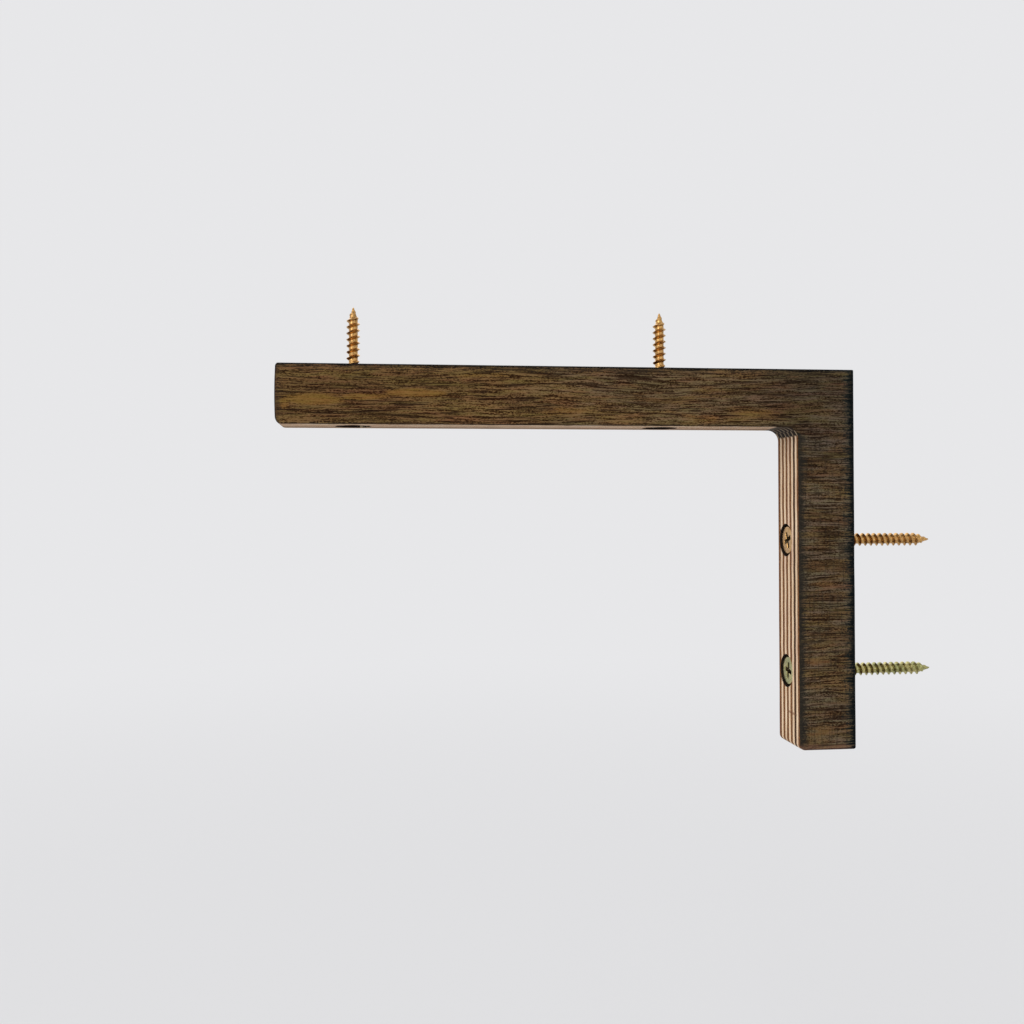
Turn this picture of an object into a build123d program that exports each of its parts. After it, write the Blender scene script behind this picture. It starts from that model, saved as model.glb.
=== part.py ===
from build123d import *
from math import radians, tan
import os

# A floating shelf bracket: an L cut from 11-ply sheet, with its four wood screws. Millimetres.
# X runs through the sheet and X = 0 is its middle. The wall is the plane Y = 0 and the arm points to -Y.
# The shelf lies on the plane Z = 0. The origin is the outer corner, where wall and shelf meet.

# The L and its sheet
SHEET_THICKNESS = 15.0
ARM_LENGTH = 150.0
ARM_DEPTH = 15.25
LEG_HEIGHT = 99.5
LEG_DEPTH = 15.4
INNER_CORNER_RADIUS = 3.0
TIP_CORNER_RADIUS = 2.0
FOOT_CORNER_RADIUS = 1.6
EDGE_EASE = 0.8

# Places of the screws. The wall screws were drilled a little to one side of the sheet's middle.
TIP_TO_FRONT_SCREW = 19.5
SHELF_SCREW_SPACING = 80.0
TOP_TO_UPPER_SCREW = 45.0
WALL_SCREW_SPACING = 35.0
WALL_SCREWS_OFF_MIDDLE = -1.8

# Drilled recesses: a flat-bottomed bore for the head, a short cone that the head seats on, a clearance hole
WALL_RECESS_DIAMETER = 8.6
WALL_RECESS_DEPTH = 1.9
SHELF_RECESS_DIAMETER = 9.0
SHELF_RECESS_DEPTH = 6.8
SEAT_DIAMETER = 4.8
THREAD_CLEARANCE = 0.3

# Countersunk cross-recess wood screws, with lengths measured from the top of the head
THREAD_DIAMETER = 3.5
SHANK_DIAMETER = 2.6
HEAD_DIAMETER = 7.2
HEAD_ANGLE = 90.0
HEAD_RIM = 0.3
POINT_LENGTH = 3.5
POINT_DIAMETER = 0.3
THREAD_RUN_IN = 0.5
WALL_SCREW_LENGTH = 40.0
WALL_THREAD_LENGTH = 24.0
SHELF_SCREW_LENGTH = 25.0
SHELF_THREAD_LENGTH = 15.0

# The cross recess in a head, which narrows as it goes down
CROSS_SPAN = 4.4
CROSS_SLOT = 1.2
CROSS_FLOOR_SPAN = 2.2
CROSS_FLOOR_SLOT = 0.6
CROSS_DEPTH = 1.8

# How far each screw happened to be turned when it came tight, in degrees
UPPER_TURN = 68.0
LOWER_TURN = 10.0
FRONT_TURN = 20.0
REAR_TURN = 65.0

hole_radius = (THREAD_DIAMETER + THREAD_CLEARANCE) / 2
cone_slope = tan(radians(HEAD_ANGLE / 2))
head_above_seat = HEAD_RIM + (HEAD_DIAMETER - SEAT_DIAMETER) / 2 / cone_slope


def drilling_plane(origin, outward):
    """The plane of a drilled edge at one screw, its normal pointing out of the wood."""
    return Plane(origin=origin, x_dir=(1, 0, 0), z_dir=outward)


shelf_drillings = [
    drilling_plane((0, TIP_TO_FRONT_SCREW - ARM_LENGTH + step, -ARM_DEPTH), (0, 0, -1))
    for step in (0, SHELF_SCREW_SPACING)
]
wall_drillings = [
    drilling_plane((WALL_SCREWS_OFF_MIDDLE, -LEG_DEPTH, -TOP_TO_UPPER_SCREW - step), (0, -1, 0))
    for step in (0, WALL_SCREW_SPACING)
]

# The bracket: the L profile through the sheet, then its eased edges, then the drilled recesses
outer_corner = (0, 0)
tip_top = (-ARM_LENGTH, 0)
tip_bottom = (-ARM_LENGTH, -ARM_DEPTH)
inner_corner = (-LEG_DEPTH, -ARM_DEPTH)
foot_front = (-LEG_DEPTH, -LEG_HEIGHT)
foot_back = (0, -LEG_HEIGHT)

with BuildPart() as bracket:
    with BuildSketch(Plane.YZ.offset(-SHEET_THICKNESS / 2)) as profile:
        with BuildLine():
            Polyline(outer_corner, tip_top, tip_bottom, inner_corner, foot_front, foot_back, close=True)
        make_face()
        for point, corner_radius in (
            (tip_bottom, TIP_CORNER_RADIUS),
            (inner_corner, INNER_CORNER_RADIUS),
            (foot_front, FOOT_CORNER_RADIUS),
        ):
            fillet(profile.vertices().sort_by_distance(point)[0], radius=corner_radius)
    extrude(amount=SHEET_THICKNESS)
    fillet(bracket.faces().filter_by(Axis.X).edges(), radius=EDGE_EASE)
    for drillings, diameter, depth in (
        (shelf_drillings, SHELF_RECESS_DIAMETER, SHELF_RECESS_DEPTH),
        (wall_drillings, WALL_RECESS_DIAMETER, WALL_RECESS_DEPTH),
    ):
        with Locations(*drillings):
            CounterBoreHole(
                radius=hole_radius,
                counter_bore_radius=diameter / 2,
                counter_bore_depth=depth,
            )
        with Locations(*[drilling.offset(-depth) for drilling in drillings]):
            CounterSinkHole(
                radius=hole_radius,
                counter_sink_radius=SEAT_DIAMETER / 2,
                counter_sink_angle=HEAD_ANGLE,
            )
bracket.part.label = "bracket"


def wood_screw(label, drilling, recess_depth, length, thread_length, turn):
    """One screw, its head seated on the cone at the bottom of its recess and its point through the wood."""
    seat = drilling.offset(-recess_depth)
    head_top = Plane(
        origin=seat.origin + seat.z_dir * head_above_seat, x_dir=seat.x_dir, z_dir=-seat.z_dir
    )
    half_section = Plane(origin=head_top.origin, x_dir=head_top.x_dir, z_dir=-head_top.y_dir)
    head_radius, shank_radius = HEAD_DIAMETER / 2, SHANK_DIAMETER / 2
    thread_radius, thread_start = THREAD_DIAMETER / 2, length - thread_length
    with BuildPart() as screw:
        with BuildSketch(half_section):
            with BuildLine():
                Polyline(
                    (0, 0),
                    (head_radius, 0),
                    (head_radius, HEAD_RIM),
                    (shank_radius, HEAD_RIM + (head_radius - shank_radius) / cone_slope),
                    (shank_radius, thread_start),
                    (thread_radius, thread_start + THREAD_RUN_IN),
                    (thread_radius, length - POINT_LENGTH),
                    (POINT_DIAMETER / 2, length),
                    (0, length),
                    close=True,
                )
            make_face()
        revolve(axis=Axis(head_top.origin, head_top.z_dir))
        for level, span, slot in (
            (head_top, CROSS_SPAN, CROSS_SLOT),
            (head_top.offset(CROSS_DEPTH), CROSS_FLOOR_SPAN, CROSS_FLOOR_SLOT),
        ):
            with BuildSketch(level):
                Rectangle(span, slot, rotation=turn)
                Rectangle(slot, span, rotation=turn)
        loft(ruled=True, mode=Mode.SUBTRACT)
    screw.part.label = label
    return screw.part


# The screws: two through the leg into the wall, two up through the arm into the shelf
wall_set = (WALL_RECESS_DEPTH, WALL_SCREW_LENGTH, WALL_THREAD_LENGTH)
shelf_set = (SHELF_RECESS_DEPTH, SHELF_SCREW_LENGTH, SHELF_THREAD_LENGTH)
screws = [
    wood_screw(label, drilling, *screw_set, turn)
    for label, drilling, screw_set, turn in (
        ("wall_screw_upper", wall_drillings[0], wall_set, UPPER_TURN),
        ("wall_screw_lower", wall_drillings[1], wall_set, LOWER_TURN),
        ("shelf_screw_front", shelf_drillings[0], shelf_set, FRONT_TURN),
        ("shelf_screw_rear", shelf_drillings[1], shelf_set, REAR_TURN),
    )
]

os.makedirs("parts", exist_ok=True)
export_step(bracket.part, "parts/bracket.step")
for screw in screws:
    export_step(screw, f"parts/{screw.label}.step")
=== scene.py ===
from math import cos, pi, radians, sin

import bmesh
import bpy
from mathutils import Matrix, Vector, noise


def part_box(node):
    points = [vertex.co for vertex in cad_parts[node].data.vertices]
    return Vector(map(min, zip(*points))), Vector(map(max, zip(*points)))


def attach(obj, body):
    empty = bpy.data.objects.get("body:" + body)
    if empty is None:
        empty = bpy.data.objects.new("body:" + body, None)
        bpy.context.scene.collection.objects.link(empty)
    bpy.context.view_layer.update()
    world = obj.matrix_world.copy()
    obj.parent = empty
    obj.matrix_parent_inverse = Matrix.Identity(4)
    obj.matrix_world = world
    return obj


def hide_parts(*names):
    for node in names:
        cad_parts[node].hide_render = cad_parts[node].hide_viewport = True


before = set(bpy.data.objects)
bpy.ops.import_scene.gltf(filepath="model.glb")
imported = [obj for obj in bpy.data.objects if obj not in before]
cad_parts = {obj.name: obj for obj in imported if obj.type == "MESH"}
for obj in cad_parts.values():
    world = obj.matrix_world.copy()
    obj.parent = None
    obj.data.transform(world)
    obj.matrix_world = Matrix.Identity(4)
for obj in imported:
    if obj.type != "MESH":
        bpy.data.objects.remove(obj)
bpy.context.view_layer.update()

# Metres, in the CAD frame: X through the sheet, the wall at Y = 0, the shelf at Z = 0, the arm towards -Y.
MM = 0.001

# The L, from the frame where its box gives it
BRACKET_LOW, BRACKET_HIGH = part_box("bracket")
HALF_SHEET = BRACKET_HIGH.x
TIP_Y = BRACKET_LOW.y
FOOT_Z = BRACKET_LOW.z
ARM_DEPTH = 15.25 * MM
LEG_DEPTH = 15.4 * MM
INNER_CORNER_RADIUS = 3.0 * MM
TIP_CORNER_RADIUS = 2.0 * MM
TIP_TOP_RADIUS = 0.9 * MM
FOOT_CORNER_RADIUS = 1.6 * MM
BACK_CORNER_RADIUS = 0.6 * MM
SQUARE_CORNER_RADIUS = 0.35 * MM
EDGE_EASE = 0.8 * MM
FAR_EDGE_EASE = 0.5 * MM

# The plies as they show: even ones counted from the near face, and a thicker last one on the far side
PLIES = 11
EVEN_PLY_SHARE = 0.96
PLY = EVEN_PLY_SHARE * 2 * HALF_SHEET / PLIES

# Drilled recesses, as (radius, depth)
WALL_RECESS = 4.3 * MM, 1.9 * MM
SHELF_RECESS = 4.5 * MM, 6.8 * MM
SEAT_RADIUS = 2.4 * MM
HOLE_RADIUS = 1.9 * MM

# Screws
HEAD_RADIUS = 3.6 * MM
HEAD_RIM = 0.3 * MM
SHANK_RADIUS = 1.3 * MM
THREAD_RADIUS = 1.75 * MM
CORE_RADIUS = 1.14 * MM
THREAD_PITCH = 1.6 * MM
POINT_LENGTH = 3.5 * MM
POINT_RADIUS = 0.15 * MM
WALL_THREAD_LENGTH = 24 * MM
SHELF_THREAD_LENGTH = 15 * MM
CROSS_SPAN, CROSS_SLOT = 4.4 * MM, 1.2 * MM
CROSS_FLOOR_SPAN, CROSS_FLOOR_SLOT = 2.2 * MM, 0.6 * MM
CROSS_DEPTH = 1.8 * MM
CROSS_DISH = 0.2 * MM

# Which edge each screw is driven into, and how far it was turned when it came tight, in degrees
SCREWS = {
    "wall_screw_upper": ("wall", 68),
    "wall_screw_lower": ("wall", 10),
    "shelf_screw_front": ("shelf", 20),
    "shelf_screw_rear": ("shelf", 65),
}

# The backdrop, and the level at which a colour renders as it is written
BACKDROP_COLOUR = (0.80, 0.80, 0.815)
AMBIENT_LEVEL = 0.62
FLOOR_Z = -0.30


def srgb(red, green, blue):
    """A colour given as it looks, 0 to 255, as the shader wants it."""
    linear = [
        c / 255 / 12.92 if c <= 10 else ((c / 255 + 0.055) / 1.055) ** 2.4
        for c in (red, green, blue)
    ]
    return (*linear, 1.0)


class Shader:
    """Short calls for the nodes of one material. Sockets and plain values can be given alike."""

    def __init__(self, name):
        self.material = bpy.data.materials.new(name)
        self.material.use_nodes = True
        self.tree = self.material.node_tree
        self.tree.nodes.clear()

    def node(self, kind, values=(), **settings):
        made = self.tree.nodes.new("ShaderNode" + kind)
        for name, value in settings.items():
            setattr(made, name, value)
        for place, value in dict(values).items():
            self.put(made.inputs[place], value)
        return made

    def put(self, socket, value):
        if isinstance(value, bpy.types.NodeSocket):
            self.tree.links.new(value, socket)
        else:
            socket.default_value = value

    def math(self, operation, first, second=0.0, third=0.0):
        return self.node("Math", {0: first, 1: second, 2: third}, operation=operation).outputs[0]

    def step(self, value, low, high, start=0.0, end=1.0):
        """Rises smoothly from start to end while value goes from low to high."""
        inputs = {"Value": value, "From Min": low, "From Max": high, "To Min": start, "To Max": end}
        return self.node("MapRange", inputs, interpolation_type="SMOOTHSTEP").outputs["Result"]

    def product(self, *values):
        result = values[0]
        for value in values[1:]:
            result = self.math("MULTIPLY", result, value)
        return result

    def sway(self, *pairs):
        """Adds up noises, each given with its weight, as swings about their middle of 0.5."""
        total = 0.0
        for value, weight in pairs:
            total = self.math("MULTIPLY_ADD", self.math("SUBTRACT", value, 0.5), weight, total)
        return total

    def largest(self, *values):
        result = values[0]
        for value in values[1:]:
            result = self.math("MAXIMUM", result, value)
        return result

    def point(self, x, y, z):
        return self.node("CombineXYZ", {0: x, 1: y, 2: z}).outputs[0]

    def length(self, vector):
        return self.node("VectorMath", {0: vector}, operation="LENGTH").outputs["Value"]

    def noise(self, x, y, z, detail=2.0, roughness=0.5):
        """Noise of about 0.3 to 0.7, features one unit across. A place is a value or (value, scale)."""
        places = [
            self.math("MULTIPLY", *place) if isinstance(place, tuple) else place
            for place in (x, y, z)
        ]
        inputs = {"Vector": self.point(*places), "Scale": 1.0, "Detail": detail, "Roughness": roughness}
        return self.node("TexNoise", inputs).outputs[0]

    def even_noise(self, place, scale, detail=2.0, roughness=0.5):
        """Noise with the same scale along x, y and z."""
        return self.noise(*[(along, scale) for along in place], detail, roughness)

    def blend(self, factor, base, layer, mode="MIX"):
        mix = self.node("Mix", data_type="RGBA", blend_type=mode)
        self.put(mix.inputs["Factor"], factor)
        self.put(mix.inputs[6], base)
        self.put(mix.inputs[7], layer)
        return mix.outputs[2]

    def ramp(self, value, *stops):
        made = self.node("ValToRGB", {"Fac": value})
        elements = made.color_ramp.elements
        while len(elements) < len(stops):
            elements.new(1.0)
        for element, (position, colour) in zip(elements, stops):
            element.position = position
            element.color = colour
        return made.outputs["Color"]

    def millimetres(self):
        """The place on the object as x, y and z in millimetres."""
        place = self.node("TexCoord").outputs["Object"]
        scaled = self.node("VectorMath", {0: place, "Scale": 1 / MM}, operation="SCALE")
        return self.node("SeparateXYZ", {0: scaled.outputs[0]}).outputs

    def facing(self):
        """The surface's own direction as x, y and z."""
        return self.node("SeparateXYZ", {0: self.node("TexCoord").outputs["Normal"]}).outputs

    def surface(self, colour, roughness, height, relief, **constants):
        """The shader itself. Height runs from 0 to 1 and relief is how deep that is."""
        shader = self.node("BsdfPrincipled")
        self.put(shader.inputs["Base Color"], colour)
        self.put(shader.inputs["Roughness"], roughness)
        for name, value in constants.items():
            shader.inputs[name.replace("_", " ")].default_value = value
        bump = self.node("Bump", {"Height": height, "Strength": 1.0, "Distance": relief})
        self.put(shader.inputs["Normal"], bump.outputs[0])
        output = self.node("OutputMaterial")
        self.tree.links.new(shader.outputs[0], output.inputs["Surface"])
        return self.material


# Marks in the veneer of the shown face, in millimetres:
# middle along the grain and across it, half length, half width, rise per millimetre, strength
DARK_MARKS = (
    (-145.5, -11.7, 3.5, 0.45, 0.02, 0.6),
    (-144.5, -3.5, 2.5, 0.3, 0.0, 0.6),
    (-136.5, -12.15, 5.0, 0.7, 0.0, 1.0),
    (-132.0, -13.3, 5.0, 0.45, 0.0, 0.7),
    (-129.0, -3.45, 3.2, 0.45, 0.0, 0.8),
    (-127.0, -12.0, 5.5, 0.55, 0.04, 1.0),
    (-117.0, -10.1, 6.5, 0.7, 0.05, 1.0),
    (-115.6, -5.55, 4.4, 0.25, 0.05, 0.9),
    (-115.2, -13.7, 2.2, 0.7, 0.1, 0.45),
    (-107.5, -9.85, 2.4, 0.3, 0.03, 1.0),
    (-106.0, -8.75, 4.4, 0.25, 0.09, 1.0),
    (-105.5, -12.3, 2.4, 0.7, 0.0, 0.7),
    (-97.8, -7.0, 1.3, 0.75, 0.15, 1.0),
    (-90.0, -10.8, 4.0, 0.6, 0.0, 0.6),
    (-89.5, -5.0, 4.6, 0.8, 0.05, 0.8),
    (-78.5, -2.6, 6.0, 1.4, 0.05, 0.8),
    (-71.0, -7.4, 3.0, 0.8, 0.0, 0.6),
    (-68.0, -4.7, 5.0, 0.8, 0.0, 0.7),
    (-60.0, -2.0, 9.5, 1.3, 0.0, 0.8),
    (-57.6, -5.0, 6.0, 0.4, 0.0, 0.6),
    (-45.5, -10.8, 5.5, 0.8, 0.02, 0.75),
    (-44.0, -6.9, 9.0, 0.3, -0.02, 0.7),
    (-12.4, -4.8, 6.0, 1.6, 0.0, 0.55),
    (-14.0, -14.6, 3.2, 1.1, 0.1, 0.9),
    (-11.0, -19.4, 3.5, 0.35, 0.0, 0.9),
    (-8.5, -22.6, 4.5, 0.35, 0.03, 0.8),
    (-8.4, -36.6, 5.5, 0.35, 0.0, 0.7),
    (-7.4, -43.0, 5.5, 1.0, 0.0, 0.75),
    (-8.4, -47.4, 5.0, 0.3, 0.0, 0.8),
    (-7.4, -59.9, 6.0, 0.9, 0.02, 0.6),
    (-10.5, -70.9, 3.4, 0.9, 0.0, 0.7),
    (-8.6, -74.0, 5.0, 0.3, 0.0, 0.7),
    (-8.4, -78.6, 6.0, 0.45, 0.0, 0.85),
    (-9.0, -86.8, 5.0, 0.35, 0.0, 0.7),
    (-7.2, -90.6, 6.0, 0.5, 0.0, 0.6),
)
GOLDEN_MARKS = (
    (-140.5, -9.0, 9.5, 1.9, 0.0, 1.0),
    (-128.0, -8.3, 8.0, 1.1, 0.02, 0.8),
    (-115.0, -7.3, 9.5, 1.25, 0.0, 1.0),
    (-147.2, -10.0, 1.6, 2.0, 0.0, 0.8),
    (-98.0, -2.9, 8.0, 1.0, 0.03, 0.55),
    (-77.0, -11.6, 9.0, 1.3, 0.0, 0.4),
    (-41.0, -13.2, 7.0, 1.2, 0.0, 0.5),
    (-27.0, -11.8, 8.0, 1.8, 0.0, 0.45),
    (-18.0, -2.4, 3.5, 0.7, 0.05, 0.5),
    (-6.4, -10.8, 2.4, 0.6, 0.0, 0.5),
    (-8.5, -56.6, 4.0, 2.2, 0.0, 0.6),
    (-9.9, -52.0, 3.0, 1.0, 0.0, 0.4),
    (-9.9, -76.2, 4.0, 1.8, 0.0, 0.7),
    (-9.9, -84.3, 3.0, 1.0, 0.0, 0.3),
    (-9.9, -95.0, 5.0, 2.4, 0.0, 0.8),
)


def marks(shader, y, z, places):
    """Soft spots along the grain, the strongest of them at each point."""
    outer_edge, full_strength = 1.25, 0.35
    spots = []
    for along, across, half_length, half_width, rise, strength in places:
        dy = shader.math("SUBTRACT", y, along)
        risen = shader.math("MULTIPLY", dy, rise)
        dz = shader.math("SUBTRACT", shader.math("SUBTRACT", z, across), risen)
        lengthways = shader.math("DIVIDE", dy, half_length)
        sideways = shader.math("DIVIDE", dz, half_width)
        distance = shader.length(shader.point(lengthways, sideways, 0.0))
        spots.append(shader.step(distance, outer_edge, full_strength, 0.0, strength))
    return shader.largest(*spots)


def stained_veneer(shader, x, y, z):
    """The two broad faces: dark-stained veneer, grain along Y. Returns its colour and its height."""
    drift = shader.noise((y, 0.022), (z, 0.06), x)
    across = shader.math("MULTIPLY_ADD", drift, 4.0, z)

    def grain(along_scale, across_scale, seed, detail=2.0, roughness=0.5):
        layer = shader.math("ADD", x, seed)
        return shader.noise((y, along_scale), (across, across_scale), layer, detail, roughness)

    # Clouds of lighter and darker stain, with redder and greener ones over them
    colour = shader.ramp(
        grain(0.035, 0.20, 5.0, 3.0),
        (0.32, srgb(107, 81, 50)),
        (0.44, srgb(117, 91, 57)),
        (0.54, srgb(127, 100, 62)),
        (0.68, srgb(136, 108, 67)),
    )
    red = shader.step(grain(0.06, 0.35, 17.0), 0.50, 0.68, 0.0, 0.48)
    colour = shader.blend(red, colour, srgb(124, 84, 58))
    green = shader.step(grain(0.05, 0.30, 29.0), 0.52, 0.70, 0.0, 0.45)
    colour = shader.blend(green, colour, srgb(112, 96, 50))

    # Broken spots: the grain itself roughens the edge of each mark
    rough = shader.math("SUBTRACT", grain(0.20, 1.3, 41.0, 3.0, 0.6), 0.5)
    golden = shader.math("MULTIPLY_ADD", rough, 1.3, marks(shader, y, z, GOLDEN_MARKS))
    golden = shader.step(golden, 0.15, 0.85)
    on_leg = shader.step(z, -14.0, -20.0)
    gold = shader.blend(on_leg, srgb(145, 111, 56), srgb(138, 100, 62))
    colour = shader.blend(shader.math("MULTIPLY", golden, 0.75), colour, gold)
    dark = shader.math("MULTIPLY_ADD", rough, 2.0, marks(shader, y, z, DARK_MARKS))
    dark = shader.step(dark, 0.25, 0.90)
    colour = shader.blend(shader.math("MULTIPLY", dark, 0.32), colour, srgb(46, 41, 38))

    # The leg took less of the yellow than the arm, and the arm less of it towards the wall
    less_yellow = shader.largest(on_leg, shader.step(y, -105.0, -65.0, 0.0, 0.6))
    patchy = shader.step(grain(0.08, 0.45, 37.0, 2.0, 0.6), 0.40, 0.62, 0.1, 0.8)
    colour = shader.blend(shader.product(less_yellow, patchy), colour, srgb(122, 108, 86))

    # Single fibres took a redder or greener tone
    tint = shader.ramp(
        grain(0.18, 1.6, 71.0),
        (0.38, srgb(254, 244, 247)),
        (0.5, srgb(251, 251, 251)),
        (0.62, srgb(247, 253, 241)),
    )
    colour = shader.blend(1.0, colour, tint, "MULTIPLY")

    # Lines along the grain about a millimetre apart, finer ones, and flecks, all calmer where golden
    fibre = shader.sway(
        (grain(0.07, 1.35, 53.0, 1.0), 0.5),
        (grain(0.16, 5.2, 61.0, 1.0, 0.6), 4.2),
        (grain(2.2, 5.2, 67.0, 1.0, 0.6), 3.4),
    )
    calm = shader.math("MULTIPLY_ADD", golden, -0.65, 1.0)
    fibre = shader.math("MULTIPLY_ADD", fibre, calm, 0.5)
    fibre_tone = shader.ramp(
        fibre,
        (0.0, srgb(94, 72, 45)),
        (0.3, srgb(174, 162, 144)),
        (0.5, srgb(224, 219, 210)),
        (0.8, srgb(236, 235, 233)),
        (1.0, srgb(240, 240, 242)),
    )
    colour = shader.blend(1.0, colour, fibre_tone, "MULTIPLY")

    # Pores crowd in the dark marks and keep out of the golden ones
    crowding = shader.math("MULTIPLY_ADD", golden, -0.14, shader.math("MULTIPLY", dark, 0.08))
    long_pores = shader.step(shader.math("ADD", grain(0.09, 2.7, 83.0, 1.0), crowding), 0.62, 0.645)
    short_pores = shader.step(shader.math("ADD", grain(0.28, 3.5, 97.0, 1.0), crowding), 0.63, 0.655)
    pores = shader.largest(
        shader.math("MULTIPLY", long_pores, 0.75),
        shader.math("MULTIPLY", short_pores, 0.7),
    )
    colour = shader.blend(pores, colour, srgb(36, 20, 8))

    # Faint marks across the grain, where the sheet was sanded along the leg
    sanding = shader.noise((y, 1.9), (z, 0.14), 7.0, 1.0)
    crossing = shader.product(on_leg, shader.step(sanding, 0.52, 0.68, 0.0, 0.4))
    colour = shader.blend(crossing, colour, srgb(50, 42, 30))

    # Darker towards the wall, most of all at the corner: partly a darker stain, partly painted shade under
    # the shelf and by the wall
    shade = shader.math("MULTIPLY_ADD", shader.math("SUBTRACT", drift, 0.5), 30.0, y)
    shade = shader.product(shader.step(shade, -34.0, -10.0), shader.step(z, -34.0, -16.0, 0.45, 1.0))
    colour = shader.blend(shade, colour, shader.blend(1.0, colour, srgb(202, 210, 232), "MULTIPLY"))

    # How far the borders run in varies, and follows the fibres a little
    wander = shader.noise((y, 0.35), (z, 0.35), 3.0, 3.0, 0.6)
    wander = shader.sway((wander, 1.4), (fibre, 0.5))
    colour = stained_and_shadowed_borders(shader, y, z, wander, colour)

    height = shader.math("MULTIPLY_ADD", pores, -0.5, shader.math("MULTIPLY", fibre, 0.35))
    return colour, shader.math("ADD", height, 0.5)


def stained_and_shadowed_borders(shader, y, z, wander, colour):
    """Darker borders round the broad faces, where the cut edges took more stain; the bands along the top
    and the back are painted shadow of the shelf and the wall.
    """
    arm_bottom, leg_front = -ARM_DEPTH / MM, -LEG_DEPTH / MM
    out_of_reach = 9.0
    from_top = shader.math("MULTIPLY", z, -1.0)
    off_underside = shader.math("ABSOLUTE", shader.math("SUBTRACT", z, arm_bottom))
    before_leg = shader.step(y, leg_front + 1.0, leg_front - 1.0, out_of_reach, 0.0)
    from_underside = shader.math("ADD", off_underside, before_leg)
    from_tip = shader.math("SUBTRACT", y, TIP_Y / MM)
    off_front = shader.math("ABSOLUTE", shader.math("SUBTRACT", y, leg_front))
    above_leg = shader.step(z, arm_bottom - 2.5, arm_bottom + 0.5, 0.0, out_of_reach)
    from_front = shader.math("ADD", off_front, above_leg)
    from_foot = shader.math("SUBTRACT", z, FOOT_Z / MM)
    from_wall = shader.math("MULTIPLY", y, -1.0)
    for distance, width, strength, tint in (
        # Along the top: painted shadow of the shelf, a dark band and a near-black line
        (from_top, 1.3, 0.6, srgb(50, 42, 32)),
        (from_top, 0.6, 1.0, srgb(8, 7, 6)),
        (from_underside, 0.5, 0.85, srgb(42, 31, 20)),
        (from_tip, 1.7, 0.45, srgb(56, 46, 32)),
        (from_tip, 0.6, 0.8, srgb(66, 36, 30)),
        (from_front, 1.7, 0.92, srgb(36, 33, 28)),
        (from_foot, 1.15, 0.6, srgb(132, 98, 78)),
        (from_foot, 0.6, 0.85, srgb(58, 36, 30)),
        # Along the back: painted shadow of the wall, a dark band and a near-black line
        (from_wall, 2.5, 0.85, srgb(25, 33, 32)),
        (from_wall, 1.5, 1.0, srgb(4, 9, 11)),
    ):
        wavy = shader.math("MULTIPLY_ADD", wander, width, distance)
        within = shader.step(wavy, width * 1.5, width * 0.4, 0.0, strength)
        colour = shader.blend(within, colour, tint)
    return colour


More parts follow.
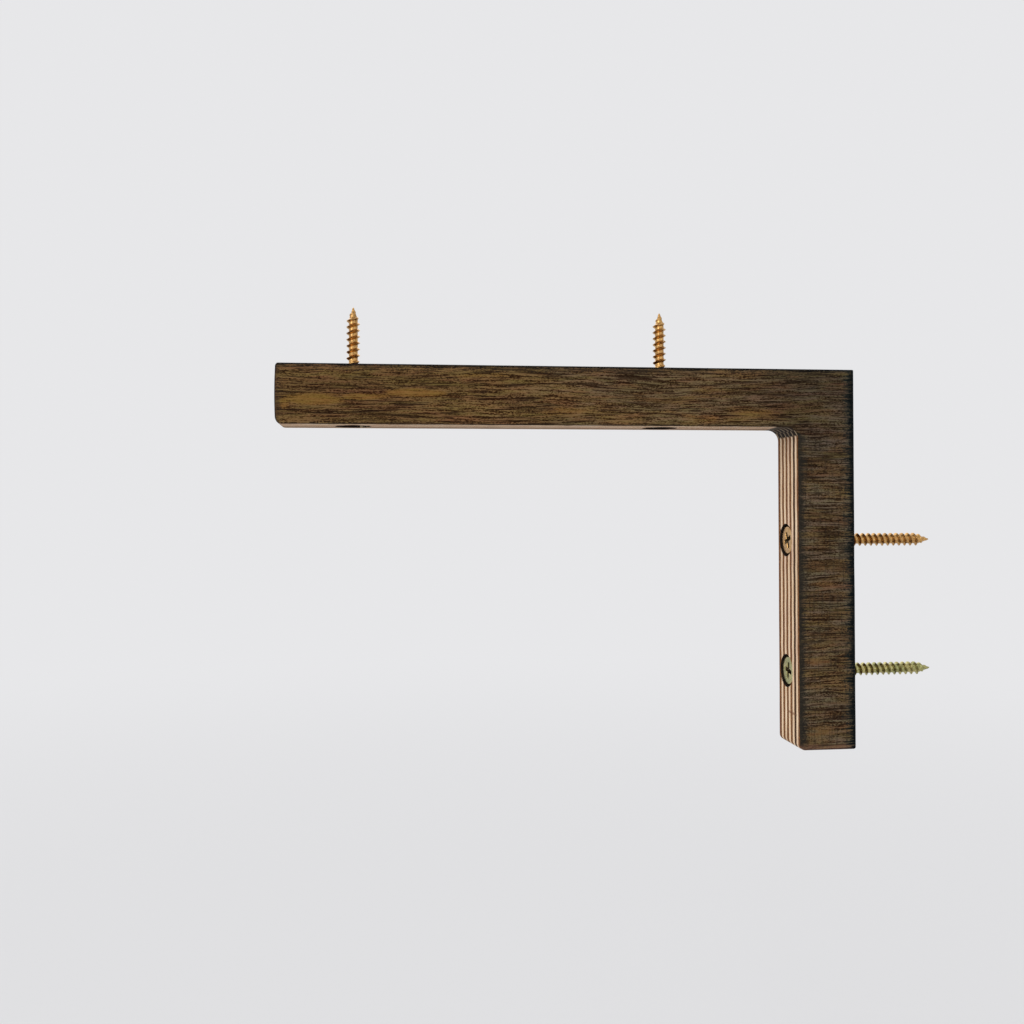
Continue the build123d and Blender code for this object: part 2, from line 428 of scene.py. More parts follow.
def ply_edges(shader, x, y, z):
    """The cut edges: plies crossed to each other, so that they swap when the edge turns a corner."""
    nx, ny, nz = shader.facing()
    waves = shader.noise((y, 0.16), (z, 0.16), 11.0)
    swayed = shader.math("ADD", x, shader.sway((waves, 0.5)))
    from_near = shader.math("SUBTRACT", swayed, HALF_SHEET / MM)
    ply = shader.math("MAXIMUM", shader.math("MULTIPLY_ADD", from_near, MM / PLY, PLIES), 0.5)
    number = shader.math("FLOOR", ply)
    parity = shader.math("FLOORED_MODULO", number, 2.0)
    on_upright = shader.math("GREATER_THAN", shader.math("ABSOLUTE", ny), shader.math("ABSOLUTE", nz))
    matches = shader.math("ABSOLUTE", shader.math("SUBTRACT", parity, on_upright))
    long_grain = shader.math("SUBTRACT", 1.0, matches)

    # Along the edge: fibres run the length of a long-grain ply and stand on end in the next
    along = shader.math("ADD", y, z)
    line = shader.noise((along, 0.10), (x, 3.2), 2.0, 3.0, 0.6)
    dots = shader.noise((along, 1.6), (x, 3.0), 19.0, 2.0, 0.6)
    slow = shader.noise((along, 0.07), (number, 3.7), 23.0)
    light = shader.ramp(
        line,
        (0.32, srgb(192, 158, 124)),
        (0.48, srgb(224, 194, 160)),
        (0.62, srgb(244, 221, 192)),
    )
    light = shader.blend(shader.step(slow, 0.45, 0.65, 0.0, 0.35), light, srgb(200, 160, 140))
    dark = shader.ramp(
        dots,
        (0.34, srgb(78, 47, 25)),
        (0.50, srgb(114, 74, 42)),
        (0.66, srgb(148, 100, 60)),
    )
    dark = shader.blend(shader.step(slow, 0.5, 0.68, 0.0, 0.5), dark, srgb(104, 62, 44))

    # One ply is darker than the rest, counted from the far side with the first as 0
    darkest_ply = 8.0
    off_darkest = shader.math("ABSOLUTE", shader.math("SUBTRACT", number, darkest_ply))
    on_darkest = shader.step(off_darkest, 0.6, 0.4)
    dark = shader.blend(shader.math("MULTIPLY", on_darkest, 0.75), dark, srgb(38, 26, 16))
    colour = shader.blend(long_grain, dark, light)

    # Glue lines, half a ply away from each ply's middle
    off_middle = shader.math("ABSOLUTE", shader.math("SUBTRACT", shader.math("FRACT", ply), 0.5))
    glue = shader.step(off_middle, 0.42, 0.49, 0.0, 0.55)
    colour = shader.blend(glue, colour, srgb(74, 46, 30))

    # A small knot across the plies of the leg's front
    knot_x, knot_z = 1.8, -90.6
    knot_half_width, knot_half_height = 3.4, 0.42
    knot_place = shader.point(
        shader.math("DIVIDE", shader.math("SUBTRACT", x, knot_x), knot_half_width),
        0.0,
        shader.math("DIVIDE", shader.math("SUBTRACT", z, knot_z), knot_half_height),
    )
    knot = shader.step(shader.length(knot_place), 1.2, 0.5, 0.0, 0.6)
    colour = shader.blend(knot, colour, srgb(110, 66, 42))

    # The sanding left the far half of the arm's underside a little darker
    far_edge = shader.product(shader.step(nz, -0.4, -0.8), shader.step(x, 1.0, -2.5))
    colour = shader.blend(far_edge, colour, shader.blend(1.0, colour, srgb(196, 190, 182), "MULTIPLY"))

    # The top, the back and the tip were stained and not sanded bare
    hidden = shader.largest(
        shader.step(nz, 0.3, 0.8),
        shader.step(ny, 0.3, 0.8),
        shader.step(y, TIP_Y / MM + 2.0, TIP_Y / MM + 0.8),
    )
    stained = shader.blend(1.0, colour, srgb(124, 104, 84), "MULTIPLY")
    colour = shader.blend(hidden, colour, stained)

    # The inner corner kept its char, with pale lines along the middle of every second ply
    pale_lines = shader.product(matches, shader.step(off_middle, 0.34, 0.12))
    char, charred = inner_corner_char(shader, x, y, z, nz, dots, pale_lines)
    colour = shader.blend(char, colour, charred)

    height = shader.math("ADD", shader.math("MULTIPLY", line, 0.3), shader.math("MULTIPLY", dots, 0.4))
    return colour, height, nx, hidden


def inner_corner_char(shader, x, y, z, nz, dots, pale_lines):
    """The char that the sanding of the flats stopped short of: how much of it shows, and its colour."""
    leg_limit, arm_limit, arm_slant = (-17.7, -17.2), (-20.5, -19.8), 0.14
    ragged = shader.math("MULTIPLY", shader.math("SUBTRACT", dots, 0.5), 1.4)
    in_leg = shader.step(shader.math("ADD", z, ragged), *leg_limit)
    slanting = shader.math("MULTIPLY_ADD", x, arm_slant, y)
    in_arm = shader.step(shader.math("ADD", slanting, ragged), *arm_limit)
    not_on_top = shader.step(nz, 0.2, -0.05)
    before_leg = shader.step(y, -14.9, -15.2)
    char = shader.product(in_leg, in_arm, not_on_top, before_leg)
    charred = shader.blend(
        pale_lines,
        shader.ramp(dots, (0.35, srgb(14, 10, 8)), (0.65, srgb(44, 34, 28))),
        shader.ramp(dots, (0.35, srgb(92, 79, 65)), (0.65, srgb(162, 144, 120))),
    )
    return char, charred


def bracket_material():
    """Veneer on the broad faces and plies on the cut edges, with a worn line between them."""
    shader = Shader("stained_plywood")
    x, y, z = shader.millimetres()
    veneer, veneer_height = stained_veneer(shader, x, y, z)
    edges, edge_height, nx, hidden = ply_edges(shader, x, y, z)
    worn = shader.math("SUBTRACT", shader.noise((y, 0.5), (z, 0.5), 31.0, 3.0, 0.6), 0.5)
    turned = shader.math("MULTIPLY_ADD", worn, 0.5, shader.math("ABSOLUTE", nx))
    turned = shader.math("MULTIPLY_ADD", hidden, -0.33, turned)
    on_face = shader.step(turned, 0.30, 0.55)

    # The outer ply is half under the eased edge and took stain there
    outer_ply = shader.step(shader.math("ABSOLUTE", x), HALF_SHEET / MM - 0.7, HALF_SHEET / MM - 0.2)
    edges = shader.blend(shader.math("MULTIPLY", outer_ply, 0.85), edges, srgb(54, 41, 34))
    # Near black on the eased edges of the top and the back: painted shadow of the shelf and the wall; at
    # the tip it stands for scorch on the cut edge
    shelf_wall_shadow_and_scorch = shader.product(hidden, shader.step(shader.math("ABSOLUTE", nx), 0.05, 0.3))
    edges = shader.blend(shelf_wall_shadow_and_scorch, edges, srgb(10, 9, 8))
    colour = shader.blend(on_face, edges, veneer)
    face_height = shader.math("MULTIPLY", on_face, veneer_height)
    cut_height = shader.math("MULTIPLY", shader.math("SUBTRACT", 1.0, on_face), edge_height)
    height = shader.math("ADD", face_height, cut_height)
    roughness = shader.step(height, 0.2, 0.8, 0.66, 0.48)
    return shader.surface(colour, roughness, height, 0.09 * MM, Specular_IOR_Level=0.05)


def drilled_and_shaded_material():
    """The walls and floors of the recesses: dark drilled wood, painted near black as shade deep in the
    recesses.
    """
    shader = Shader("drilled_plywood_and_shade")
    place = shader.millimetres()
    rings = shader.even_noise(place, 2.2, 3.0, 0.6)
    # Near black: the drilled wood's dark, with painted shade of the recesses over it
    colour = shader.ramp(
        rings,
        (0.34, srgb(16, 12, 10)),
        (0.5, srgb(30, 22, 17)),
        (0.68, srgb(62, 47, 35)),
    )

    # The front recess in the arm is torn on its wall side, with one pale chip
    _, y, z = place
    tear_start, tear_end, tear_top = (-129.2, -128.4), (-124.0, -125.0), (-12.0, -13.0)
    chip_y, chip_edge, chip_top = -128.5, (0.45, 0.25), (-13.0, -14.0)
    torn = shader.product(
        shader.step(y, *tear_start),
        shader.step(y, *tear_end),
        shader.step(z, *tear_top),
    )
    torn_wood = shader.ramp(rings, (0.40, srgb(48, 40, 32)), (0.62, srgb(120, 108, 90)))
    colour = shader.blend(shader.math("MULTIPLY", torn, 0.8), colour, torn_wood)
    from_chip = shader.math("ABSOLUTE", shader.math("SUBTRACT", y, chip_y))
    chip = shader.product(shader.step(from_chip, *chip_edge), shader.step(z, *chip_top))
    colour = shader.blend(chip, colour, srgb(170, 152, 124))
    return shader.surface(colour, 0.75, rings, 0.06 * MM, Specular_IOR_Level=0.1)


def zinc_material():
    """Yellow-passivated zinc: brassy, with faint lighter and darker clouds and dull handling marks."""
    shader = Shader("yellow_zinc")
    place = shader.millimetres()
    clouds = shader.even_noise(place, 0.45)
    grime_and_recess_shade = shader.even_noise(place, 2.6, 3.0, 0.6)
    dents = shader.even_noise(place, 0.9, 1.0)
    golden = shader.ramp(clouds, (0.40, srgb(204, 160, 98)), (0.60, srgb(188, 145, 90)))
    greenish = shader.ramp(clouds, (0.40, srgb(186, 176, 120)), (0.60, srgb(156, 156, 104)))

    # The lower wall screw's plating came out greener than the others
    _, _, z = place
    below_upper_screw, above_foot = (-60.0, -66.0), (-99.0, -92.0)
    lower_screw = shader.product(shader.step(z, *below_upper_screw), shader.step(z, *above_foot))
    colour = shader.blend(lower_screw, golden, greenish)
    colour = shader.blend(shader.step(grime_and_recess_shade, 0.50, 0.66, 0.0, 0.7), colour, srgb(104, 82, 48))
    roughness = shader.step(grime_and_recess_shade, 0.35, 0.7, 0.20, 0.44)
    height = shader.math("MULTIPLY_ADD", dents, 0.8, shader.math("MULTIPLY", grime_and_recess_shade, 0.2))
    return shader.surface(colour, roughness, height, 0.12 * MM, Metallic=1.0)


def recess_shade_material():
    """The inside of a driver recess: painted shade, a dark mottled zinc where no light gets in."""
    shader = Shader("recess_shade_zinc")
    # Dark browns mottled by noise, as painted shade in the recess
    grime_and_recess_shade = shader.even_noise(shader.millimetres(), 3.1, 3.0, 0.6)
    colour = shader.ramp(
        grime_and_recess_shade,
        (0.38, srgb(34, 26, 16)),
        (0.55, srgb(62, 48, 28)),
        (0.7, srgb(112, 90, 50)),
    )
    return shader.surface(colour, 0.5, grime_and_recess_shade, 0.02 * MM, Metallic=0.8)


def new_piece(name, bm, *materials):
    """An object in the scene from a bmesh, which it uses up."""
    mesh = bpy.data.meshes.new(name)
    bm.to_mesh(mesh)
    bm.free()
    for material in materials:
        mesh.materials.append(material)
    piece = bpy.data.objects.new(name, mesh)
    bpy.context.scene.collection.objects.link(piece)
    return piece


def smooth_but_crisp(mesh, angle):
    """Smooth shading, with edges that turn more than the angle kept sharp."""
    mesh.polygons.foreach_set("use_smooth", [True] * len(mesh.polygons))
    mesh.set_sharp_from_angle(angle=radians(angle))
    mesh.update()


# The grid of the L: columns round its outline, rows across the sheet
COLUMN_SPACING = 1.25 * MM
CORNER_STEPS = 10
EASE_STEPS = 6
FACE_MARGIN = 0.35 * MM
WOOD_MERGE = 0.002 * MM
WOOD_CREASE = 35

# A glue line's groove, as (millimetres off the line, share of the depth)
GROOVE_PROFILE = (0.16, 0), (0.07, 0.4), (0, 1), (-0.07, 0.4), (-0.16, 0)
GROOVE_DEPTH = 0.05 * MM

# How the hand's work varies: noise features per metre, and the share that they change
SOFT_WAVES, SOFT_SHARE = 90, 0.14
ROUGH_WAVES, ROUGH_SHARE = 420, 0.05
GROOVE_WAVES, GROOVE_MIDDLE, GROOVE_SHARE = 250, 0.7, 0.5
CORNER_GROOVE = 2.2


def outline():
    """Points round the L in (y, z), from the outer corner along the top to the tip and round.

    Each is (place, outward direction, mitre). A mitre is (corner, inward direction, radius), and it
    keeps the easing from folding over itself at a convex corner.
    """
    corners = [
        (Vector((0, 0)), SQUARE_CORNER_RADIUS),
        (Vector((TIP_Y, 0)), TIP_TOP_RADIUS),
        (Vector((TIP_Y, -ARM_DEPTH)), TIP_CORNER_RADIUS),
        (Vector((-LEG_DEPTH, -ARM_DEPTH)), INNER_CORNER_RADIUS),
        (Vector((-LEG_DEPTH, FOOT_Z)), FOOT_CORNER_RADIUS),
        (Vector((0, FOOT_Z)), BACK_CORNER_RADIUS),
    ]
    points = []
    for number, (corner, radius) in enumerate(corners):
        arriving = (corner - corners[number - 1][0]).normalized()
        following, following_radius = corners[(number + 1) % len(corners)]
        leaving = (following - corner).normalized()
        convex = arriving.cross(leaving) > 0
        centre = corner + (leaving - arriving) * radius
        for step in range(CORNER_STEPS + 1):
            turn = pi / 2 * step / CORNER_STEPS
            spoke = arriving * sin(turn) - leaving * cos(turn)
            mitre = (corner, leaving - arriving, radius) if convex else None
            points.append((centre + spoke * radius, spoke if convex else -spoke, mitre))
        start, end = corner + leaving * radius, following - leaving * following_radius
        count = round((end - start).length / COLUMN_SPACING)
        outward = Vector((leaving.y, -leaving.x))
        for step in range(1, count):
            points.append((start.lerp(end, step / count), outward, None))
    return points


def edge_rows():
    """Rows across the sheet, from the near face to the far one, where side is 1 or -1.

    Each is ("face", side, 0), ("ease", degrees, side) or ("flat", x, share of the groove's depth).
    """
    rows = [("face", 1, 0)]
    rows += [("ease", 90 * step / EASE_STEPS, 1) for step in range(EASE_STEPS + 1)]
    for boundary in range(PLIES - 1, 0, -1):
        line = HALF_SHEET - (PLIES - boundary) * PLY
        for away, share in GROOVE_PROFILE:
            rows.append(("flat", line + away * MM, share))
        if boundary > 1:
            rows.append(("flat", line - PLY / 2, 0))
    rows += [("ease", 90 * step / EASE_STEPS, -1) for step in range(EASE_STEPS, -1, -1)]
    rows += [("face", -1, 0)]
    return rows


def tip_wear(at):
    """How far the arm's tip is sanded back at a point of the outline, least in the tip's middle."""
    reach = 2.0 * MM
    middle_wear, more_at_corners = 0.28, 0.22
    share = max(0.0, 1 - (at.x - TIP_Y) / reach)
    from_middle = (at.y + ARM_DEPTH / 2) / (ARM_DEPTH / 2)
    return share * (middle_wear + more_at_corners * from_middle ** 2) * MM


def in_inner_corner(place):
    """Whether a point of the outline lies on the rounding of the inner corner."""
    slack = 0.01 * MM
    before_leg = -LEG_DEPTH - INNER_CORNER_RADIUS < place.x < -LEG_DEPTH + slack
    return before_leg and -ARM_DEPTH - INNER_CORNER_RADIUS < place.y < -ARM_DEPTH + slack


def bracket_shell():
    """The L as a closed grid, with hand-eased edges and fine grooves at the glue lines."""
    soft_layer, rough_layer = 0.0, 0.7
    bm = bmesh.new()
    columns = []
    for place, outward, mitre in outline():
        softly = noise.noise(Vector((place.x, place.y, soft_layer)) * SOFT_WAVES)
        roughly = noise.noise(Vector((place.x, place.y, rough_layer)) * ROUGH_WAVES)
        unevenness = 1 + SOFT_SHARE * softly + ROUGH_SHARE * roughly
        groove = GROOVE_MIDDLE + GROOVE_SHARE * noise.noise(place.to_3d() * GROOVE_WAVES)
        groove = GROOVE_DEPTH * (CORNER_GROOVE if in_inner_corner(place) else groove)
        column = []
        for kind, value, share in edge_rows():
            side = share if kind == "ease" else value
            ease = (EDGE_EASE if side > 0 else FAR_EDGE_EASE) * unevenness
            if kind == "face":
                x, inset = side * HALF_SHEET, ease + FACE_MARGIN
            elif kind == "ease":
                angle = radians(value)
                x = side * (HALF_SHEET - ease * (1 - cos(angle)))
                inset = ease * (1 - sin(angle))
            else:
                x, inset = value, share * groove
            if mitre and inset > mitre[2]:
                corner, inward, _ = mitre
                at = corner + inward * inset
            else:
                at = place - outward * inset
            column.append(bm.verts.new((x, at.x + tip_wear(at), at.y)))
        columns.append(column)
    for left, right in zip(columns, columns[1:] + columns[:1]):
        for row in range(len(left) - 1):
            bm.faces.new((left[row], left[row + 1], right[row + 1], right[row]))
    bmesh.ops.remove_doubles(bm, verts=bm.verts, dist=WOOD_MERGE)
    bmesh.ops.dissolve_degenerate(bm, edges=bm.edges, dist=WOOD_MERGE)
    rims = [edge for edge in bm.edges if edge.is_boundary]
    caps = bmesh.ops.holes_fill(bm, edges=rims, sides=0)["faces"]
    bmesh.ops.triangulate(bm, faces=caps, ngon_method="EAR_CLIP")
    bmesh.ops.recalc_face_normals(bm, faces=bm.faces)
    return bm


def lathe(bm, origin, axis, side, sections, segments):
    """Adds a turned shape. A section is (distance along the axis, radius or a function of the angle)."""
    across = axis.cross(side)
    rings = []
    for along, radius in sections:
        ring = []
        for segment in range(segments):
            angle = 2 * pi * segment / segments
            reach = radius(angle) if callable(radius) else radius
            spoke = side * cos(angle) + across * sin(angle)
            ring.append(bm.verts.new(origin + axis * along + spoke * reach))
        rings.append(ring)
    for lower, upper in zip(rings, rings[1:]):
        for segment in range(segments):
            after = (segment + 1) % segments
            bm.faces.new((lower[segment], lower[after], upper[after], upper[segment]))
    return rings


def close_ring(bm, ring, at):
    """Closes a ring with triangles that meet at one point."""
    middle = bm.verts.new(at)
    for first, second in zip(ring, ring[1:] + ring[:1]):
        bm.faces.new((first, second, middle))


def screw_place(name):
    """Where a screw's head top lies, which way it points and how long it is, from its CAD node."""
    low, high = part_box(name)
    middle = (low + high) / 2
    if SCREWS[name][0] == "wall":
        return Vector((middle.x, low.y, middle.z)), Vector((0, 1, 0)), high.y - low.y
    return Vector((middle.x, middle.y, low.z)), Vector((0, 0, 1)), high.z - low.z


# The broken rim of a recess, and how far the cutter stands past the wood
RIM_BREAK_WIDTH, RIM_BREAK_DEPTH = 0.10 * MM, 0.12 * MM
CUTTER_OVERRUN = 1.0 * MM
DRILL_SEGMENTS = 96


def drill_cutter():
    """The four drillings as one cutter: recess with a broken rim, seat cone, clearance hole."""
    bm = bmesh.new()
    for name, (kind, _) in SCREWS.items():
        head_top, axis, _ = screw_place(name)
        radius, depth = WALL_RECESS if kind == "wall" else SHELF_RECESS
        surface = -LEG_DEPTH if kind == "wall" else -ARM_DEPTH
        origin = head_top - axis * (head_top.dot(axis) - surface)
        through = -surface + CUTTER_OVERRUN
        sections = (
            (-CUTTER_OVERRUN, radius + RIM_BREAK_WIDTH),
            (0.0, radius + RIM_BREAK_WIDTH),
            (RIM_BREAK_DEPTH, radius),
            (depth, radius),
            (depth, SEAT_RADIUS),
            (depth + SEAT_RADIUS - HOLE_RADIUS, HOLE_RADIUS),
            (through, HOLE_RADIUS),
        )
        rings = lathe(bm, origin, axis, Vector((1, 0, 0)), sections, DRILL_SEGMENTS)
        close_ring(bm, rings[0], origin + axis * sections[0][0])
        close_ring(bm, rings[-1], origin + axis * through)
    bmesh.ops.recalc_face_normals(bm, faces=bm.faces)
    return bm


def make_bracket():
    """The drilled L, in place of its CAD node."""
    drilled = drilled_and_shaded_material()
    shell = new_piece("plywood_bracket", bracket_shell(), bracket_material(), drilled)
    cutter = new_piece("drillings", drill_cutter(), drilled)
    cut = shell.modifiers.new("drill", "BOOLEAN")
    cut.operation, cut.solver, cut.object = "DIFFERENCE", "EXACT", cutter
    cut.material_mode = "TRANSFER"
    graph = bpy.context.evaluated_depsgraph_get()
    drilled_mesh = bpy.data.meshes.new_from_object(shell.evaluated_get(graph))
    shell.modifiers.clear()
    shell.data = drilled_mesh
    bpy.data.objects.remove(cutter)
    smooth_but_crisp(shell.data, WOOD_CREASE)
    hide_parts("bracket")
    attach(shell, "root")


# The grid of a screw, its thread in rows round each pitch
HEAD_SEGMENTS = 144
THREAD_SEGMENTS = 48
THREAD_ROWS = 10
RECESS_WALL_STEPS = 7
METAL_MERGE, METAL_SLIVER = 0.004 * MM, 0.001 * MM
METAL_CREASE = 38

# The driver recess's rolled lip, as (depth, how far outside the recess), above where its walls end
LIP_DEPTH = 0.14 * MM
LIP = (0.03 * MM, 0.11 * MM), (0.0, 0.18 * MM)

# The head's rounded top edge, as (depth, how far inside the head's radius)
HEAD_EDGE = (0.0, 0.14 * MM), (0.02 * MM, 0.06 * MM), (0.07 * MM, 0.015 * MM), (0.13 * MM, 0.0)
UNDER_EDGE_DEPTH, UNDER_EDGE_INSET = 0.05 * MM, 0.03 * MM
NECK_REACH, NECK_ROUNDING = 0.3 * MM, 0.06 * MM


def cross_reach(span, slot, turn):
    """How far the driver recess reaches at each angle: a plus sign with softened arm ends."""
    softness = 9
    least_sine = 1e-6

    def reach(angle):
        folded = abs((angle - turn + pi / 4) % (pi / 2) - pi / 4)
        to_end = span / 2 / cos(folded)
        to_side = slot / 2 / max(sin(folded), least_sine)
        return (to_end ** -softness + to_side ** -softness) ** (-1 / softness)

    return reach


def head_sections(length, thread_length, turn):
    """The head and plain shank, from the recess's middle out over the head and down to the thread."""
    top = cross_reach(CROSS_SPAN, CROSS_SLOT, turn)
    floor = cross_reach(CROSS_FLOOR_SPAN, CROSS_FLOOR_SLOT, turn)
    sections = []
    for share in (0.25, 0.6, 0.9):
        sections.append((CROSS_DEPTH + CROSS_DISH * (1 - share), lambda a, s=share: floor(a) * s))
    for step in range(RECESS_WALL_STEPS + 1):
        rise = step / RECESS_WALL_STEPS
        depth = CROSS_DEPTH + (LIP_DEPTH - CROSS_DEPTH) * rise
        sections.append((depth, lambda a, r=rise: floor(a) + (top(a) - floor(a)) * r))
    sections += [(depth, lambda a, o=outside: top(a) + o) for depth, outside in LIP]
    sections.append((0.0, lambda a: (top(a) + HEAD_RADIUS) / 2))
    sections += [(depth, HEAD_RADIUS - inside) for depth, inside in HEAD_EDGE]
    neck = HEAD_RIM + HEAD_RADIUS - SHANK_RADIUS
    sections += [
        (HEAD_RIM, HEAD_RADIUS),
        (HEAD_RIM + UNDER_EDGE_DEPTH, HEAD_RADIUS - UNDER_EDGE_INSET),
        (neck - NECK_REACH, SHANK_RADIUS + NECK_REACH),
        (neck, SHANK_RADIUS + NECK_ROUNDING),
        (neck + NECK_REACH, SHANK_RADIUS),
        (length - thread_length, SHANK_RADIUS),
    ]
    return sections


def add_thread(bm, origin, axis, side, start, length):
    """The cut thread as one helical surface from the shank to the point."""
    ridge_crest, ridge_flank = 0.04, 0.22
    core_taper, core_run_in = 1.15, 1.5
    across = axis.cross(side)
    spacing = THREAD_PITCH / THREAD_ROWS
    row_count = int((length - start) / spacing) + 2 * THREAD_ROWS

    def vertex(row, segment):
        turn = segment / THREAD_SEGMENTS
        along = start + spacing * (row - THREAD_ROWS) + THREAD_PITCH * turn
        along = min(max(along, start), length)
        from_tip = length - along
        taper = min(1.0, from_tip / POINT_LENGTH)
        run_in = min(1.0, (along - start) / THREAD_PITCH)
        envelope = POINT_RADIUS + (THREAD_RADIUS - POINT_RADIUS) * taper
        core = POINT_RADIUS + (CORE_RADIUS - POINT_RADIUS) * min(1.0, taper * core_taper)
        core = SHANK_RADIUS + (core - SHANK_RADIUS) * min(1.0, run_in * core_run_in)
        phase = row % THREAD_ROWS / THREAD_ROWS
        ridge = max(0.0, 1 - max(0.0, abs(phase - 0.5) - ridge_crest) / ridge_flank)
        radius = core + (max(envelope, core) - core) * ridge * run_in
        angle = 2 * pi * turn
        return origin + axis * along + (side * cos(angle) + across * sin(angle)) * radius

    grid = [
        [bm.verts.new(vertex(row, segment)) for segment in range(THREAD_SEGMENTS)]
        for row in range(row_count + 1)
    ]

    def at(row, segment):
        if segment == THREAD_SEGMENTS:
            row, segment = row + THREAD_ROWS, 0
        return grid[min(row, row_count)][segment]

    for row in range(row_count):
        for segment in range(THREAD_SEGMENTS):
            corners = (
                at(row, segment),
                at(row, segment + 1),
                at(row + 1, segment + 1),
                at(row + 1, segment),
            )
            if len(set(corners)) == 4:
                bm.faces.new(corners)
    close_ring(bm, grid[row_count], origin + axis * length)


def make_screw(name, *materials):
    """One screw in place of its CAD node. The second material is the painted shade inside its recess."""
    recess_top, recess_margin = 0.1 * MM, 0.03 * MM
    kind, turn = SCREWS[name]
    thread_length = WALL_THREAD_LENGTH if kind == "wall" else SHELF_THREAD_LENGTH
    head_top, axis, length = screw_place(name)
    side = Vector((1, 0, 0))
    start = length - thread_length
    bm = bmesh.new()
    sections = head_sections(length, thread_length, radians(turn))
    rings = lathe(bm, head_top, axis, side, sections, HEAD_SEGMENTS)
    close_ring(bm, rings[0], head_top + axis * (CROSS_DEPTH + CROSS_DISH))
    # Faces deep in the driver recess take the second material, the painted shade
    for face in bm.faces:
        depth = min((vert.co - head_top).dot(axis) for vert in face.verts)
        from_middle = max((vert.co - head_top).cross(axis).length for vert in face.verts)
        in_recess = depth > recess_top and from_middle < CROSS_SPAN / 2 + recess_margin
        face.material_index = int(in_recess)
    add_thread(bm, head_top, axis, side, start, length)
    bmesh.ops.remove_doubles(bm, verts=bm.verts, dist=METAL_MERGE)
    bmesh.ops.dissolve_degenerate(bm, edges=bm.edges, dist=METAL_SLIVER)
    open_edges = [edge for edge in bm.edges if edge.is_boundary]
    bmesh.ops.holes_fill(bm, edges=open_edges, sides=0)
    bmesh.ops.recalc_face_normals(bm, faces=bm.faces)
    piece = new_piece(name + "_cut", bm, *materials)
    smooth_but_crisp(piece.data, METAL_CREASE)
    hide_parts(name)
    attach(piece, "root")


def shown_rays(tree, other_rays=()):
    """A factor that is 1 for the camera's own rays, and for the other kinds of ray that are named."""
    path = tree.nodes.new("ShaderNodeLightPath")
    total = path.outputs["Is Camera Ray"]
    for name in other_rays:
        add = tree.nodes.new("ShaderNodeMath")
        add.operation = "MAXIMUM"
        tree.links.new(total, add.inputs[0])
        tree.links.new(path.outputs[name], add.inputs[1])
        total = add.outputs[0]
    return total


def make_world():
    """Even white light from all round, shown to the camera, in gloss and through glass as the backdrop."""
    world = bpy.data.worlds.new("studio")
    bpy.context.scene.world = world
    world.use_nodes = True
    tree = world.node_tree
    tree.nodes.clear()
    lit = tree.nodes.new("ShaderNodeBackground")
    lit.inputs["Color"].default_value = (1.0, 1.0, 1.0, 1.0)
    lit.inputs["Strength"].default_value = AMBIENT_LEVEL
    shown = tree.nodes.new("ShaderNodeBackground")
    shown.inputs["Color"].default_value = (*BACKDROP_COLOUR, 1.0)
    shown.inputs["Strength"].default_value = 1.0
    mix = tree.nodes.new("ShaderNodeMixShader")
    tree.links.new(shown_rays(tree, ("Is Glossy Ray", "Is Transmission Ray")), mix.inputs[0])
    tree.links.new(lit.outputs[0], mix.inputs[1])
    tree.links.new(shown.outputs[0], mix.inputs[2])
    output = tree.nodes.new("ShaderNodeOutputWorld")
    tree.links.new(mix.outputs[0], output.inputs[0])


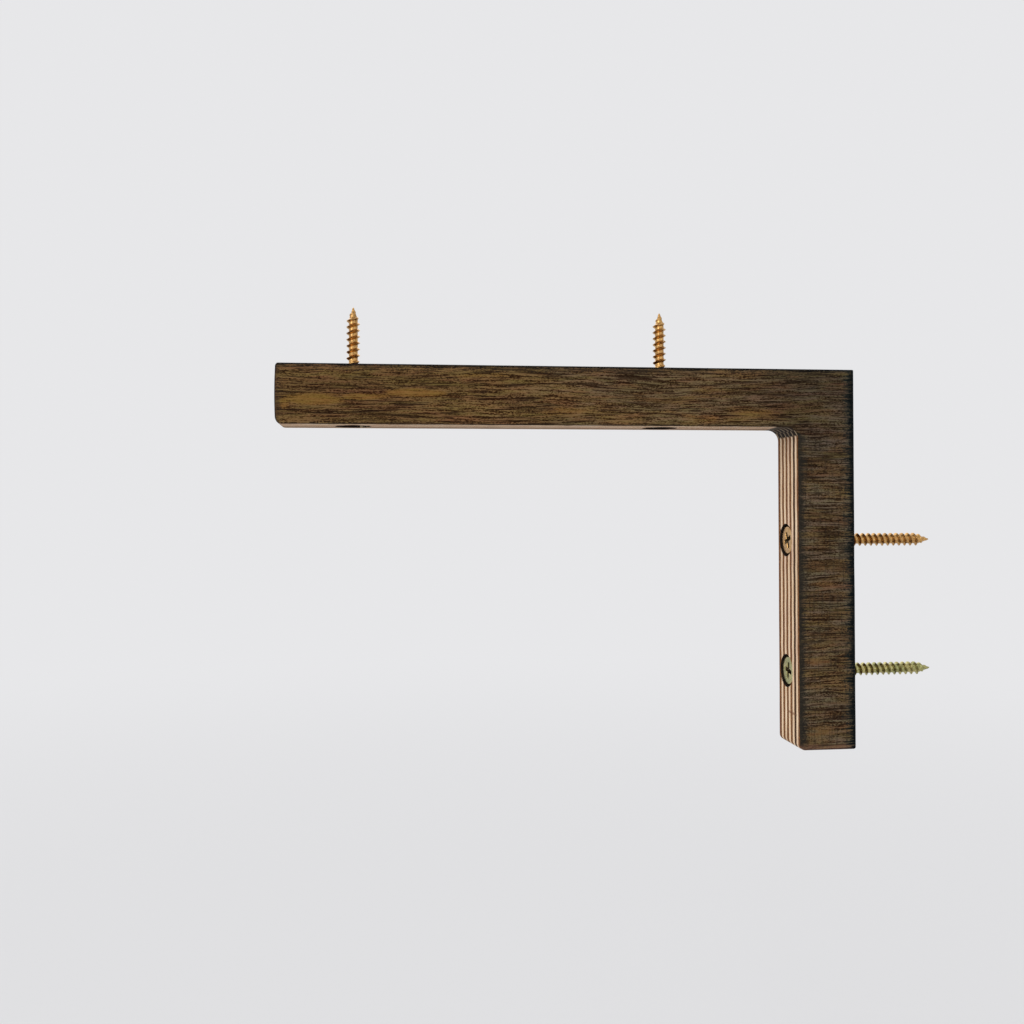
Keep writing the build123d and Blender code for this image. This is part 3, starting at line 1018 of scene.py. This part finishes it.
def make_floor():
    """A pale round floor that keeps the object's shadow and fades into the backdrop further out."""
    radius, segments, fade_start, fade_end = 4.0, 96, 0.45, 1.6
    shader = Shader("pale_floor")
    distance = shader.length(shader.node("TexCoord").outputs["Object"])
    far_out = shader.step(distance, fade_start, fade_end)
    fade = shader.math("MULTIPLY", far_out, shown_rays(shader.tree))
    paint = shader.node("BsdfDiffuse", {"Color": (*BACKDROP_COLOUR, 1.0)})
    shown = shader.node("Emission", {"Color": (*BACKDROP_COLOUR, 1.0), "Strength": 1.0})
    mix = shader.node("MixShader")
    shader.put(mix.inputs[0], fade)
    shader.tree.links.new(paint.outputs[0], mix.inputs[1])
    shader.tree.links.new(shown.outputs[0], mix.inputs[2])
    output = shader.node("OutputMaterial")
    shader.tree.links.new(mix.outputs[0], output.inputs["Surface"])
    bm = bmesh.new()
    bmesh.ops.create_circle(bm, cap_ends=True, segments=segments, radius=radius)
    floor = new_piece("floor", bm, shader.material)
    floor.location = (0, TIP_Y / 2, FLOOR_Z)


def make_lamps():
    """Soft suns, as (name, direction of the light, strength, spread in degrees)."""
    for name, towards, strength, spread in (
        ("window", (-0.62, 0.62, -0.48), 1.25, 50),
        ("room", (-0.75, -0.35, 0.30), 0.45, 80),
        ("behind", (0.80, 0.10, -0.55), 0.65, 60),
    ):
        lamp = bpy.data.lights.new(name, "SUN")
        lamp.energy = strength
        lamp.angle = radians(spread)
        holder = bpy.data.objects.new(name, lamp)
        holder.rotation_euler = Vector(towards).to_track_quat("-Z", "Y").to_euler()
        bpy.context.scene.collection.objects.link(holder)


def make_camera():
    """The photograph's viewpoint, fitted to the bracket's outline in a 1024 pixel square frame."""
    frame_pixels = 1024
    focal_pixels = 1105.4
    centre_x, centre_y = 510.5, 484.4
    eye = Vector((0.28425, -0.12541, -0.03430))
    right = Vector((0.12299, 0.99241, -0.00227))
    down = Vector((-0.01503, -0.00042, -0.99989))
    forward = Vector((-0.99229, 0.12301, 0.01486))
    camera = bpy.data.cameras.new("camera")
    camera.sensor_width = 36
    camera.lens = camera.sensor_width * focal_pixels / frame_pixels
    camera.shift_x = (frame_pixels / 2 - centre_x) / frame_pixels
    camera.shift_y = (centre_y - frame_pixels / 2) / frame_pixels
    camera.clip_start = 0.01
    holder = bpy.data.objects.new("camera", camera)
    turn = Matrix((right, -down, -forward)).transposed().to_4x4()
    holder.matrix_world = Matrix.Translation(eye) @ turn
    bpy.context.scene.collection.objects.link(holder)
    bpy.context.scene.camera = holder


make_bracket()
# The zinc, and the painted shade for the inside of the driver recesses
screw_zinc_and_recess_shade = zinc_material(), recess_shade_material()
for screw_name in SCREWS:
    make_screw(screw_name, *screw_zinc_and_recess_shade)
make_world()
make_floor()
make_lamps()
make_camera()
bpy.context.scene.view_settings.view_transform = "Standard"
